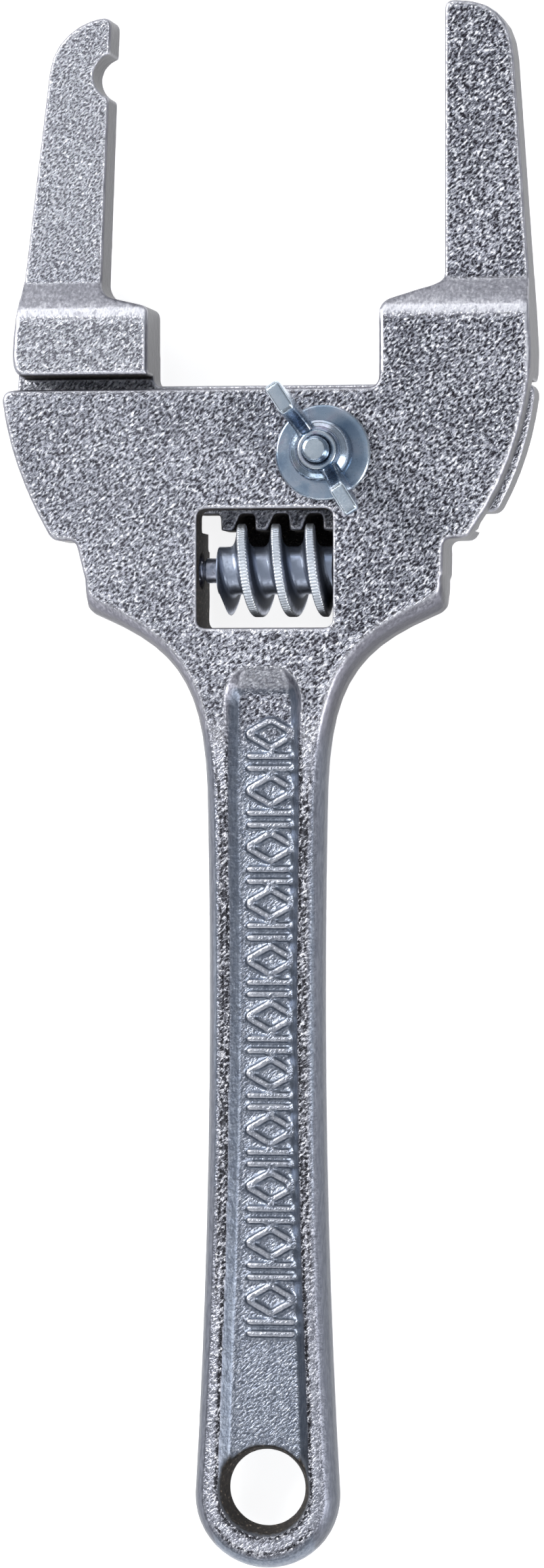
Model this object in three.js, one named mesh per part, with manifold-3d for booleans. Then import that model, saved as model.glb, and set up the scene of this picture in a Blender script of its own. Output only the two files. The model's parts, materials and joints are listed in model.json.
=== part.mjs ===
// Adjustable slip and lock nut wrench, lying on its back, with the jaws fully closed.
// Millimetres. +Z is the front face's normal, +Y points from the handle to the jaws, +X towards the fixed
// jaw. The origin is the centre of the overall outline, on the plane that the back of the head rests on.

import * as THREE from 'three';
import { mergeVertices } from 'three/addons/utils/BufferGeometryUtils.js';
import Module from 'manifold-3d';

const wasm = await Module();
wasm.setup();

// Overall size
const HALF_LENGTH = 144.2;
const HALF_WIDTH = 49.1;

// Layers, from the back (z = 0) to the front
const HEAD_THICKNESS = 15;
const MID_Z = HEAD_THICKNESS / 2;
const JAW_THICKNESS = 10;
const HANDLE_THICKNESS = 11;
const SLIDE_THICKNESS = 8;
const GAP = 0.3;
const PLATE_BACK = SLIDE_THICKNESS + GAP;

// Slide and the channel that it runs in
const SLIDE_TOP = 74;
const SLIDE_BOTTOM = 50.2;
const PLATE_TOP = 73.1;
const CHANNEL_TOP = SLIDE_TOP + 0.4;
const BLOCK_BOTTOM = 75.5;

// Rack and worm
const PITCH = 6.35;
const TOOTH_COUNT = 8;
const TOOTH_HEIGHT = 3.1;
const TOOTH_TIP_WIDTH = 2.3;
const TOOTH_BACK_SLOPE = 1.3;
const TOOTH_DRAFT = 0.15;
const FIRST_TOOTH_X = -9.2;
const LEDGE_Y = SLIDE_BOTTOM - TOOTH_HEIGHT - GAP;
const WEB_LEFT = -6.7;
const WEB_RIGHT = 31;
const WEB_BOTTOM = 43.9;
const WEB_THICKNESS = 0.8;
const WORM_Y = 39.75;
const WORM_Z = 8.7;
const WORM_LEFT = -9.4;
const WORM_RIGHT = 12.3;
const WORM_CREST_RADIUS = 8.6;
const WORM_CORE_RADIUS = 4.4;
const WORM_CREST_X = 1.2;
const WORM_CREST_HALF_WIDTH = 0.8;
const WORM_BORE_RADIUS = 2.6;
const THREAD_START = -2.9 * Math.PI;
const THREAD_END = 3.15 * Math.PI;
const THREAD_STEPS_PER_TURN = 22;
const THREAD_RUN_OUT = 0.7;
const PIN_RADIUS = 2.3;

// Window in the shoulder
const WINDOW_HALF_WIDTH = 12.6;
const WINDOW_TOP = 50.8;
const WINDOW_BOTTOM = 29.1;

// Clamp: bolt, washer and wing nut
const TRAVEL = 4.5 * PITCH;
const BOLT_X = 10.8;
const BOLT_Y = 61.2;
const BOLT_RADIUS = 2.4;
const BOLT_END_Z = 25.8;
const BOLT_HEAD_RADIUS = 4.8;
const BOLT_HEAD_TOP = 2.9;
const BOLT_NECK_WIDTH = 4.9;
const NECK_SLOT_OVERRUN = 1.8;
const WASHER_RADIUS = 8.75;
const WASHER_BOTTOM = HEAD_THICKNESS + GAP;
const WASHER_TOP = WASHER_BOTTOM + 1.3;
const NUT_BASE = WASHER_TOP + GAP;
const NUT_HUB_HEIGHT = 5.6;
const WING_THICKNESS = 2.9;
const WING_EDGE = 0.4;
const WING_ANGLE = THREE.MathUtils.degToRad(-57.4);

// Handle
const HANDLE_X = -0.5;
const HANDLE_END_RADIUS = 13.5;
const HANDLE_END_Y = HANDLE_END_RADIUS - HALF_LENGTH;
const HANDLE_START_Y = -5;
const HANDLE_START_HALF_WIDTH = 11.15;
const HANDLE_WAIST_DEPTH = 1.25;
const HANDLE_EDGE = 3.2;
const RECESS_DEPTH = 2.2;
const RECESS_WALL_SLOPE = 0.9;
const RIDGE_WIDTH = 4.4;
const HOLE_RADIUS = 6.95;
const HOLE_RIM_RADIUS = 8.6;
const HOLE_Y = -129.3;
const NECK_TOP_Y = 41;

// Jaws
const FIXED_FACE_X = 32.6;
const MOVING_FACE = { footX: -31.52, footY: 84, tipX: -29.48, tipY: 140.6 };
const NOTCH_RADIUS = 4.15;
const EDGE = 0.6;
const JAW_EDGE = 0.6;

// ---- geometry helpers ----

function solidOf(geometry) {
  const bare = geometry.index ? geometry.toNonIndexed() : geometry.clone();
  bare.deleteAttribute('normal');
  bare.deleteAttribute('uv');
  const merged = mergeVertices(bare, 1e-4);
  const mesh = new wasm.Mesh({
    numProp: 3,
    vertProperties: merged.attributes.position.array,
    triVerts: Uint32Array.from(merged.index.array),
  });
  return new wasm.Manifold(mesh);
}

function geometryOf(solid) {
  const { vertProperties, triVerts } = solid.getMesh();
  const geometry = new THREE.BufferGeometry();
  geometry.setAttribute('position', new THREE.BufferAttribute(vertProperties, 3));
  geometry.setIndex(new THREE.BufferAttribute(triVerts, 1));
  geometry.computeVertexNormals();
  return geometry;
}

// A flat shape given thickness from z = bottom to z = top. The bevel eats into the outline, not beyond it.
function slab(shape, bottom, top, { bevel = 0, bevelDepth = bevel, bevelSegments = 1, curveSegments = 6 } = {}) {
  const geometry = new THREE.ExtrudeGeometry(shape, {
    depth: top - bottom - 2 * bevelDepth,
    bevelEnabled: bevel > 0,
    bevelSize: bevel,
    bevelOffset: -bevel,
    bevelThickness: bevelDepth,
    bevelSegments,
    curveSegments,
  });
  geometry.translate(0, 0, bottom + bevelDepth);
  return solidOf(geometry);
}

function box(x0, x1, y0, y1, z0, z1) {
  const geometry = new THREE.BoxGeometry(x1 - x0, y1 - y0, z1 - z0);
  geometry.translate((x0 + x1) / 2, (y0 + y1) / 2, (z0 + z1) / 2);
  return solidOf(geometry);
}

// A solid of revolution about Z; each profile point is [radius, z], starting and ending on the axis.
function turned(profile, segments = 40) {
  const points = profile.map(([radius, z]) => new THREE.Vector2(radius, z));
  const geometry = new THREE.LatheGeometry(points, segments);
  geometry.rotateX(Math.PI / 2);
  return geometry;
}

// The same, laid along +X on the worm's axis.
function turnedOnWormAxis(profile, segments = 32) {
  const geometry = turned(profile, segments);
  geometry.rotateY(Math.PI / 2);
  geometry.translate(0, WORM_Y, WORM_Z);
  return solidOf(geometry);
}

function cylinderZ(x, y, radius, z0, z1, segments = 40) {
  const geometry = turned([[0, z0], [radius, z0], [radius, z1], [0, z1]], segments);
  geometry.translate(x, y, 0);
  return solidOf(geometry);
}

function cylinderOnWormAxis(radius, x0, x1) {
  return turnedOnWormAxis([[0, x0], [radius, x0], [radius, x1], [0, x1]]);
}

// A prism along X over the full width; each outline point is [y, z].
function prismAcross(outline) {
  const shape = new THREE.Shape(outline.map(([y, z]) => new THREE.Vector2(y, z)));
  const geometry = new THREE.ExtrudeGeometry(shape, { depth: 4 * HALF_WIDTH, bevelEnabled: false });
  geometry.rotateZ(Math.PI / 2);
  geometry.rotateY(Math.PI / 2);
  geometry.translate(-2 * HALF_WIDTH, 0, 0);
  return solidOf(geometry);
}

function slotShape(x0, x1, y, radius) {
  const shape = new THREE.Shape();
  shape.absarc(x1, y, radius, -Math.PI / 2, Math.PI / 2, false);
  shape.absarc(x0, y, radius, Math.PI / 2, 1.5 * Math.PI, false);
  return shape;
}

function joined(solids) {
  return solids.reduce((whole, solid) => whole.add(solid));
}

// ---- handle and neck ----

function handleHalfWidth(y) {
  const t = (HANDLE_START_Y - y) / (HANDLE_START_Y - HANDLE_END_Y);
  const chord = THREE.MathUtils.lerp(HANDLE_START_HALF_WIDTH, HANDLE_END_RADIUS, t);
  return chord - 4 * HANDLE_WAIST_DEPTH * t * (1 - t);
}

// One quarter of the rolled edge: steps from the front face's edge to the widest line at mid thickness.
function rolledEdge(front, outer, halfThickness) {
  const steps = 4;
  const points = [];
  for (let i = 0; i <= steps; i += 1) {
    const angle = (Math.PI / 2) * (i / steps);
    const across = Math.sin(angle);
    const x = THREE.MathUtils.lerp(front.x, outer.x, across);
    const y = THREE.MathUtils.lerp(front.y, outer.y, across);
    points.push(new THREE.Vector3(x, y, halfThickness * Math.cos(angle)));
  }
  return points;
}

// A closed section of the handle, the same on the left and right, and on the front and back.
function handleRing(front, outer, halfThickness) {
  const quarter = rolledEdge(front, outer, halfThickness);
  const ring = [];
  const add = (point, side, face) => {
    ring.push(new THREE.Vector3(HANDLE_X + side * point.x, point.y, MID_Z + face * point.z));
  };
  quarter.forEach((point) => add(point, 1, 1));
  quarter.slice(0, -1).reverse().forEach((point) => add(point, 1, -1));
  quarter.forEach((point) => add(point, -1, -1));
  quarter.slice(0, -1).reverse().forEach((point) => add(point, -1, 1));
  return ring;
}

// Joins matching rings into one closed skin, with a fan over each end.
function loft(rings) {
  const count = rings[0].length;
  const points = rings.flat();
  const first = rings[0];
  const last = rings[rings.length - 1];
  const centreOf = (ring) => ring.reduce((sum, p) => sum.add(p), new THREE.Vector3()).divideScalar(count);
  const faces = [];
  for (let r = 0; r < rings.length - 1; r += 1) {
    for (let i = 0; i < count; i += 1) {
      const a = r * count + i;
      const b = r * count + ((i + 1) % count);
      faces.push(a, b, a + count, b, b + count, a + count);
    }
  }
  const firstCentre = points.push(centreOf(first)) - 1;
  const lastCentre = points.push(centreOf(last)) - 1;
  const lastStart = (rings.length - 1) * count;
  for (let i = 0; i < count; i += 1) {
    const next = (i + 1) % count;
    faces.push(firstCentre, next, i);
    faces.push(lastCentre, lastStart + i, lastStart + next);
  }
  const geometry = new THREE.BufferGeometry().setFromPoints(points);
  geometry.setIndex(faces);
  return solidOf(geometry);
}

// The neck flares from the handle to the shoulder; its front face stops short of its outline all round.
function neckRings() {
  const outline = new THREE.CubicBezierCurve(
    new THREE.Vector2(HANDLE_START_HALF_WIDTH, HANDLE_START_Y),
    new THREE.Vector2(11.3, 17.2),
    new THREE.Vector2(15.2, 24.4),
    new THREE.Vector2(30.6, 31),
  );
  const frontEdge = new THREE.CubicBezierCurve(
    new THREE.Vector2(HANDLE_START_HALF_WIDTH - HANDLE_EDGE, HANDLE_START_Y),
    new THREE.Vector2(8.7, 17),
    new THREE.Vector2(12, 27),
    new THREE.Vector2(29.1, 35.2),
  );
  const steps = 12;
  const rings = [];
  for (let i = 0; i <= steps; i += 1) {
    const t = i / steps;
    const grow = THREE.MathUtils.smoothstep(t, 0.05, 0.85);
    const halfThickness = THREE.MathUtils.lerp(HANDLE_THICKNESS, HEAD_THICKNESS, grow) / 2;
    rings.push(handleRing(frontEdge.getPoint(t), outline.getPoint(t), halfThickness));
  }
  const corner = [
    [new THREE.Vector2(30.6, 36.1), new THREE.Vector2(32.4, 31.8)],
    [new THREE.Vector2(31.9, 37.2), new THREE.Vector2(33.3, 32.7)],
    [new THREE.Vector2(32.7, 38.8), new THREE.Vector2(33.45, 34.6)],
    [new THREE.Vector2(32.8, NECK_TOP_Y), new THREE.Vector2(33.4, NECK_TOP_Y)],
  ];
  corner.forEach(([front, outer]) => rings.push(handleRing(front, outer, MID_Z)));
  return rings;
}

function handleRings() {
  const steps = 10;
  const rings = [];
  for (let i = 0; i < steps; i += 1) {
    const y = THREE.MathUtils.lerp(HANDLE_END_Y, HANDLE_START_Y, i / steps);
    const halfWidth = handleHalfWidth(y);
    const front = new THREE.Vector2(halfWidth - HANDLE_EDGE, y);
    rings.push(handleRing(front, new THREE.Vector2(halfWidth, y), HANDLE_THICKNESS / 2));
  }
  return rings;
}

function handleEnd() {
  const front = new THREE.Vector2(HANDLE_END_RADIUS - HANDLE_EDGE, 0);
  const outer = new THREE.Vector2(HANDLE_END_RADIUS, 0);
  const quarter = rolledEdge(front, outer, HANDLE_THICKNESS / 2);
  const back = quarter.map((point) => [point.x, MID_Z - point.z]);
  const face = quarter.slice(0, -1).reverse().map((point) => [point.x, MID_Z + point.z]);
  const profile = [[0, back[0][1]], ...back, ...face, [0, MID_Z + HANDLE_THICKNESS / 2]];
  const geometry = turned(profile, 48);
  geometry.translate(HANDLE_X, HANDLE_END_Y, 0);
  return solidOf(geometry);
}

// The long hollow in the handle's face, as a cutter: rounded at the neck, ending round the hanging hole.
function frontRecess() {
  const rimAt = (y) => handleHalfWidth(y) - RIDGE_WIDTH;
  const archY = 15;
  const archRadius = rimAt(HANDLE_START_Y) - 0.1;
  const shape = new THREE.Shape();
  shape.absarc(HANDLE_X, HOLE_Y, HOLE_RIM_RADIUS, Math.PI, 2 * Math.PI, false);
  for (const y of [-112, -90, -68, -46, -25, HANDLE_START_Y]) {
    shape.lineTo(HANDLE_X + rimAt(y), y);
  }
  shape.absarc(HANDLE_X, archY, archRadius, 0, Math.PI, false);
  for (const y of [HANDLE_START_Y, -25, -46, -68, -90, -112]) {
    shape.lineTo(HANDLE_X - rimAt(y), y);
  }
  const faceZ = MID_Z + HANDLE_THICKNESS / 2;
  const floorZ = faceZ - RECESS_DEPTH;
  const wallHeight = RECESS_DEPTH + 2.5;
  const wallWidth = wallHeight * RECESS_WALL_SLOPE;
  const geometry = new THREE.ExtrudeGeometry(shape, {
    depth: 4,
    bevelEnabled: true,
    bevelSize: wallWidth,
    bevelOffset: -RECESS_DEPTH * RECESS_WALL_SLOPE,
    bevelThickness: wallHeight,
    bevelSegments: 1,
    curveSegments: 10,
  });
  geometry.translate(0, 0, floorZ + wallHeight);
  const rampStart = 16.3;
  const rampRise = 6.4;
  const ramp = prismAcross([
    [rampStart, floorZ - 1],
    [rampStart, floorZ],
    [27, floorZ + rampRise],
    [30, floorZ + rampRise],
    [30, floorZ - 1],
  ]);
  return solidOf(geometry).subtract(ramp);
}

function mirroredFrontToBack(solid) {
  const geometry = geometryOf(solid);
  geometry.rotateY(Math.PI);
  geometry.translate(2 * HANDLE_X, 0, HEAD_THICKNESS);
  return solidOf(geometry);
}

// The hanging hole narrows from both faces to a waist at mid thickness.
function hangingHole() {
  const face = HANDLE_THICKNESS / 2;
  const geometry = turned([
    [0, MID_Z - face - 1],
    [HOLE_RIM_RADIUS, MID_Z - face - 1],
    [HOLE_RIM_RADIUS, MID_Z - face],
    [HOLE_RADIUS, MID_Z],
    [HOLE_RIM_RADIUS, MID_Z + face],
    [HOLE_RIM_RADIUS, MID_Z + face + 1],
    [0, MID_Z + face + 1],
  ], 48);
  geometry.translate(HANDLE_X, HOLE_Y, 0);
  return solidOf(geometry);
}

function handle() {
  const recess = frontRecess();
  return joined([loft([...handleRings(), ...neckRings()]), handleEnd()])
    .subtract(recess)
    .subtract(mirroredFrontToBack(recess))
    .subtract(hangingHole());
}

// ---- head, jaws and slide ----

// Front plate, shoulder and the fixed jaw's block, as one outline.
function headShape() {
  const shape = new THREE.Shape();
  shape.moveTo(32.9, 38.5);
  shape.lineTo(33, 44);
  shape.quadraticCurveTo(33.1, 45.2, 34.6, 45.2);
  shape.lineTo(36.2, 45.2);
  shape.quadraticCurveTo(37.3, 45.2, 38, 46.4);
  shape.quadraticCurveTo(46.9, 58.5, 49, 76);
  shape.lineTo(HALF_WIDTH, 80);
  shape.lineTo(48.8, 86);
  shape.lineTo(48.25, 93.8);
  shape.lineTo(FIXED_FACE_X, 93.8);
  shape.quadraticCurveTo(FIXED_FACE_X, 92.2, 28.6, 91.3);
  shape.lineTo(23.2, 89.5);
  shape.quadraticCurveTo(21.1, 88.8, 21.1, 86.8);
  shape.lineTo(21.1, 75.2);
  shape.quadraticCurveTo(21.1, PLATE_TOP, 19, PLATE_TOP);
  shape.lineTo(-46.9, PLATE_TOP);
  shape.quadraticCurveTo(-HALF_WIDTH, PLATE_TOP, -HALF_WIDTH, 71);
  shape.quadraticCurveTo(-47.6, 59, -40.6, 46.7);
  shape.quadraticCurveTo(-39.8, 45.2, -38.5, 45.2);
  shape.lineTo(-36.8, 45.2);
  shape.quadraticCurveTo(-35.2, 45.2, -35, 43.8);
  shape.lineTo(-33.7, 38.5);
  return shape;
}

function fixedJawShape() {
  const shape = new THREE.Shape();
  shape.moveTo(FIXED_FACE_X, 84);
  shape.lineTo(FIXED_FACE_X, 142.6);
  shape.quadraticCurveTo(FIXED_FACE_X, HALF_LENGTH, 34.4, HALF_LENGTH);
  shape.bezierCurveTo(41.6, HALF_LENGTH, 44.9, 141, 45.4, 134);
  shape.lineTo(48.75, 86);
  return shape;
}

function movingJawShape() {
  const face = MOVING_FACE;
  const shape = new THREE.Shape();
  shape.moveTo(face.footX, face.footY);
  shape.lineTo(-46.6, 86.5);
  shape.lineTo(-46, 92.5);
  shape.lineTo(-41.2, 132);
  shape.bezierCurveTo(-40.6, 138.2, -35.2, 141.6, -31.2, 142.1);
  shape.quadraticCurveTo(-29.43, 142.3, face.tipX, face.tipY);
  return shape;
}

function movingBlockShape() {
  const shape = new THREE.Shape();
  shape.moveTo(-21.8, BLOCK_BOTTOM);
  shape.lineTo(-21.8, 86.9);
  shape.quadraticCurveTo(-21.8, 88.4, -23.3, 88.7);
  shape.lineTo(-28.7, 90);
  shape.quadraticCurveTo(-31.1, 90.5, -31.3, 93.8);
  shape.lineTo(-45.85, 93.8);
  shape.lineTo(-46.6, 86.5);
  shape.quadraticCurveTo(-47.2, 82, -47.2, 79);
  shape.quadraticCurveTo(-47.1, BLOCK_BOTTOM, -45, BLOCK_BOTTOM);
  return shape;
}

// The slide bar, with a rack of buttress teeth: upright on the side that takes the load, sloped on the other.
function slideShape() {
  const shape = new THREE.Shape();
  shape.moveTo(47, SLIDE_TOP);
  shape.lineTo(-20.4, SLIDE_TOP);
  shape.quadraticCurveTo(-21.8, SLIDE_TOP, -21.8, BLOCK_BOTTOM);
  shape.lineTo(-21.8, 80);
  shape.lineTo(-47, 80);
  shape.lineTo(-47.7, 72);
  shape.quadraticCurveTo(-46.6, 60.5, -42.6, 51.8);
  shape.quadraticCurveTo(-41.9, SLIDE_BOTTOM, -40.4, SLIDE_BOTTOM);
  for (let i = 0; i < TOOTH_COUNT; i += 1) {
    const x = FIRST_TOOTH_X + i * PITCH;
    shape.lineTo(x - TOOTH_DRAFT, SLIDE_BOTTOM);
    shape.lineTo(x, SLIDE_BOTTOM - TOOTH_HEIGHT);
    shape.lineTo(x + TOOTH_TIP_WIDTH, SLIDE_BOTTOM - TOOTH_HEIGHT);
    shape.lineTo(x + TOOTH_TIP_WIDTH + TOOTH_BACK_SLOPE, SLIDE_BOTTOM);
  }
  shape.lineTo(40.8, SLIDE_BOTTOM);
  shape.quadraticCurveTo(42, SLIDE_BOTTOM, 42.7, 51.5);
  shape.quadraticCurveTo(47.6, 60.5, HALF_WIDTH, 71.8);
  shape.quadraticCurveTo(HALF_WIDTH, SLIDE_TOP, 47, SLIDE_TOP);
  return shape;
}

// Above the blocks the front face rolls over and slopes back from the head's full thickness to the upper jaws'.
function slopeAboveBlock() {
  const above = HEAD_THICKNESS + 5;
  return prismAcross([
    [84.5, HEAD_THICKNESS + 0.1],
    [86.4, HEAD_THICKNESS - 0.25],
    [88, HEAD_THICKNESS - 0.9],
    [89.4, HEAD_THICKNESS - 1.9],
    [93.4, JAW_THICKNESS],
    [100, JAW_THICKNESS],
    [100, above],
    [84.5, above],
  ]);
}

// A thin web on the back of the slide, behind the teeth and the upper half of the worm.
function rackWeb() {
  return box(WEB_LEFT, WEB_RIGHT, WEB_BOTTOM, SLIDE_BOTTOM + 1, 0, WEB_THICKNESS);
}

function windowCutter() {
  const corner = 1.5;
  const left = -WINDOW_HALF_WIDTH;
  const right = WINDOW_HALF_WIDTH;
  const shape = new THREE.Shape();
  shape.moveTo(left + corner, WINDOW_BOTTOM);
  shape.lineTo(right - corner, WINDOW_BOTTOM);
  shape.quadraticCurveTo(right, WINDOW_BOTTOM, right, WINDOW_BOTTOM + corner);
  shape.lineTo(right, WINDOW_TOP - corner);
  shape.quadraticCurveTo(right, WINDOW_TOP, right - corner, WINDOW_TOP);
  shape.lineTo(left + corner, WINDOW_TOP);
  shape.quadraticCurveTo(left, WINDOW_TOP, left, WINDOW_TOP - corner);
  shape.lineTo(left, WINDOW_BOTTOM + corner);
  shape.quadraticCurveTo(left, WINDOW_BOTTOM, left + corner, WINDOW_BOTTOM);
  return slab(shape, -1, HEAD_THICKNESS + 1, { curveSegments: 4 });
}

function body() {
  const channel = box(-2 * HALF_WIDTH, 2 * HALF_WIDTH, LEDGE_Y, CHANNEL_TOP, -1, PLATE_BACK);
  const webGroove = box(-2 * HALF_WIDTH, 2 * HALF_WIDTH, WEB_BOTTOM - GAP, LEDGE_Y + 1, -1, WEB_THICKNESS + GAP);
  const plugBore = cylinderOnWormAxis(3.2, -40, 0);
  const pinBore = cylinderOnWormAxis(PIN_RADIUS + GAP, 0, 22);
  const head = slab(headShape(), 0, HEAD_THICKNESS, { bevel: EDGE }).subtract(slopeAboveBlock());
  const jaw = slab(fixedJawShape(), 0, JAW_THICKNESS, { bevel: JAW_EDGE, bevelSegments: 2 });
  return joined([head, jaw, handle()])
    .subtract(channel)
    .subtract(webGroove)
    .subtract(windowCutter())
    .subtract(plugBore)
    .subtract(pinBore)
    .subtract(cylinderZ(BOLT_X, BOLT_Y, BOLT_RADIUS + GAP, 0, HEAD_THICKNESS + 1));
}

function movableJaw() {
  const slotEnd = BOLT_X + TRAVEL;
  const block = slab(movingBlockShape(), 0, HEAD_THICKNESS, { bevel: EDGE }).subtract(slopeAboveBlock());
  const jaw = slab(movingJawShape(), 0, JAW_THICKNESS, { bevel: JAW_EDGE, bevelSegments: 2 });
  const neckRadius = BOLT_NECK_WIDTH / 2 + GAP;
  const neckSlot = slotShape(BOLT_X - NECK_SLOT_OVERRUN, slotEnd + NECK_SLOT_OVERRUN, BOLT_Y, neckRadius);
  const headSlot = slotShape(BOLT_X, slotEnd, BOLT_Y, BOLT_HEAD_RADIUS + GAP);
  return joined([slab(slideShape(), 0, SLIDE_THICKNESS), rackWeb(), block, jaw])
    .subtract(slab(neckSlot, -1, SLIDE_THICKNESS + 1))
    .subtract(slab(headSlot, -1, BOLT_HEAD_TOP + GAP))
    .subtract(cylinderZ(-28.7, 131.3, NOTCH_RADIUS, -1, JAW_THICKNESS + 1, 32));
}

// ---- worm and its pin ----

// A straight strip whose length is an angle is wound round the worm's axis as a right-hand helix.
function wormThread() {
  const root = WORM_CORE_RADIUS - 0.2;
  const crest = WORM_CREST_RADIUS;
  const tip = WORM_CREST_HALF_WIDTH;
  const profile = [[-2, root], [2, root], [1.2, root + 1.4], [tip, crest], [-tip, crest], [-1.2, root + 1.4]];
  const shape = new THREE.Shape(profile.map(([along, radius]) => new THREE.Vector2(along, radius)));
  const sweep = THREAD_END - THREAD_START;
  const geometry = new THREE.ExtrudeGeometry(shape, {
    depth: sweep,
    steps: Math.round((THREAD_STEPS_PER_TURN * sweep) / (2 * Math.PI)),
    bevelEnabled: false,
  });
  const position = geometry.attributes.position;
  for (let i = 0; i < position.count; i += 1) {
    const travelled = position.getZ(i);
    const angle = THREAD_START + travelled;
    const toEnd = Math.min(travelled, sweep - travelled);
    const size = THREE.MathUtils.clamp(toEnd / THREAD_RUN_OUT, 0.1, 1);
    const radius = root + (position.getY(i) - root) * size;
    const x = WORM_CREST_X + position.getX(i) * size + (PITCH * angle) / (2 * Math.PI);
    position.setXYZ(i, x, WORM_Y + radius * Math.cos(angle), WORM_Z + radius * Math.sin(angle));
  }
  return solidOf(geometry);
}

function worm() {
  const chamfer = 0.8;
  const hub = WORM_CORE_RADIUS;
  const core = turnedOnWormAxis([
    [0, WORM_LEFT],
    [hub - chamfer, WORM_LEFT],
    [hub, WORM_LEFT + chamfer],
    [hub, WORM_RIGHT - chamfer],
    [hub - chamfer, WORM_RIGHT],
    [0, WORM_RIGHT],
  ]);
  const bore = cylinderOnWormAxis(WORM_BORE_RADIUS, WORM_LEFT - 1, WORM_RIGHT + 1);
  return core.add(wormThread()).subtract(bore);
}

// Plain axle, a thin relieved neck, and a slotted plug that screws into the shoulder from the left.
function wormPin() {
  const plugRadius = 2.9;
  const neckRadius = 1.75;
  const plugEnd = -22;
  const slot = box(plugEnd - 1, plugEnd + 1.2, WORM_Y - 4, WORM_Y + 4, WORM_Z - 0.5, WORM_Z + 0.5);
  const pin = turnedOnWormAxis([
    [0, plugEnd],
    [plugRadius - 0.5, plugEnd],
    [plugRadius, plugEnd + 0.5],
    [plugRadius, -14.6],
    [neckRadius, -14.2],
    [neckRadius, -11.9],
    [PIN_RADIUS, -11.6],
    [PIN_RADIUS, 20.8],
    [PIN_RADIUS - 0.6, 21.5],
    [0, 21.5],
  ], 28);
  return pin.subtract(slot);
}

// ---- clamp ----

// Round-headed bolt with a square neck that rides in the slide's slot.
function clampBolt() {
  const half = BOLT_NECK_WIDTH / 2;
  const round = turned([
    [0, 0.4],
    [2.6, 0.5],
    [4.2, 1],
    [BOLT_HEAD_RADIUS, 1.8],
    [BOLT_HEAD_RADIUS, BOLT_HEAD_TOP],
    [BOLT_RADIUS, BOLT_HEAD_TOP],
    [BOLT_RADIUS, BOLT_END_Z - 0.6],
    [BOLT_RADIUS - 0.5, BOLT_END_Z],
    [0, BOLT_END_Z],
  ], 32);
  round.translate(BOLT_X, BOLT_Y, 0);
  const neck = box(BOLT_X - half, BOLT_X + half, BOLT_Y - half, BOLT_Y + half, BOLT_HEAD_TOP - 0.5, 5.6);
  return solidOf(round).add(neck);
}

function washer() {
  const holeRadius = 3.05;
  const rim = 0.2;
  const geometry = turned([
    [holeRadius, WASHER_BOTTOM],
    [WASHER_RADIUS, WASHER_BOTTOM],
    [WASHER_RADIUS, WASHER_TOP - rim],
    [WASHER_RADIUS - rim, WASHER_TOP],
    [holeRadius, WASHER_TOP],
    [holeRadius, WASHER_BOTTOM],
  ], 56);
  geometry.translate(BOLT_X + 0.25, BOLT_Y - 0.2, 0);
  return solidOf(geometry);
}

// One wing, upright in the plane of its radius: it rises and flares from the hub to a flat-topped tip.
function wing() {
  const shape = new THREE.Shape();
  shape.moveTo(2.9, 0.8);
  shape.lineTo(4.9, 0.8);
  shape.bezierCurveTo(8, 1.4, 11.6, 4.6, 13.6, 9.6);
  shape.bezierCurveTo(14.2, 11.4, 14, 12.6, 13, 12.8);
  shape.lineTo(8.6, 12.4);
  shape.bezierCurveTo(7.2, 12, 7, 7, 3.6, NUT_HUB_HEIGHT - 0.3);
  shape.lineTo(2.9, NUT_HUB_HEIGHT - 0.3);
  const geometry = new THREE.ExtrudeGeometry(shape, {
    depth: WING_THICKNESS - 2 * WING_EDGE,
    bevelEnabled: true,
    bevelSize: WING_EDGE,
    bevelOffset: -WING_EDGE,
    bevelThickness: WING_EDGE,
    bevelSegments: 1,
    curveSegments: 6,
  });
  geometry.translate(0, 0, WING_EDGE - WING_THICKNESS / 2);
  geometry.rotateX(Math.PI / 2);
  return geometry;
}

function wingNut() {
  const hub = turned([
    [0, 0],
    [5.2, 0],
    [5.2, 0.9],
    [4.7, 1.6],
    [3.9, 4.9],
    [3.5, NUT_HUB_HEIGHT],
    [0, NUT_HUB_HEIGHT],
  ], 36);
  const wings = [0, Math.PI].map((turn) => solidOf(wing().rotateZ(WING_ANGLE + turn)));
  const bore = cylinderZ(0, 0, BOLT_RADIUS + GAP, -1, NUT_HUB_HEIGHT + 1, 32);
  const geometry = geometryOf(joined([solidOf(hub), ...wings]).subtract(bore));
  geometry.translate(BOLT_X, BOLT_Y, NUT_BASE);
  return solidOf(geometry);
}

// ---- assembly ----

const CAST = { color: 0xb4b4ba, roughness: 0.5, metalness: 0.85 };
const BLUED = { color: 0x6d7d92, roughness: 0.35, metalness: 0.95 };
const BRIGHT = { color: 0xa9bac6, roughness: 0.3, metalness: 0.95 };

const PIECES = [
  ['body', body, CAST],
  ['movable_jaw', movableJaw, CAST],
  ['worm', worm, BLUED],
  ['worm_pin', wormPin, BLUED],
  ['clamp_bolt', clampBolt, BRIGHT],
  ['washer', washer, BRIGHT],
  ['wing_nut', wingNut, BRIGHT],
];

const wrench = new THREE.Group();
for (const [name, make, finish] of PIECES) {
  const mesh = new THREE.Mesh(geometryOf(make()), new THREE.MeshStandardMaterial(finish));
  mesh.name = name;
  wrench.add(mesh);
}

export default wrench;
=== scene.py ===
"""Looks for the adjustable slip nut wrench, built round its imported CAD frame.

Every piece is a detailed copy or rebuild of one CAD node, in the row frame, in metres.
"""

import json
import math

import bmesh
import bpy
import numpy as np
from mathutils import Matrix, Vector, noise


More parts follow.
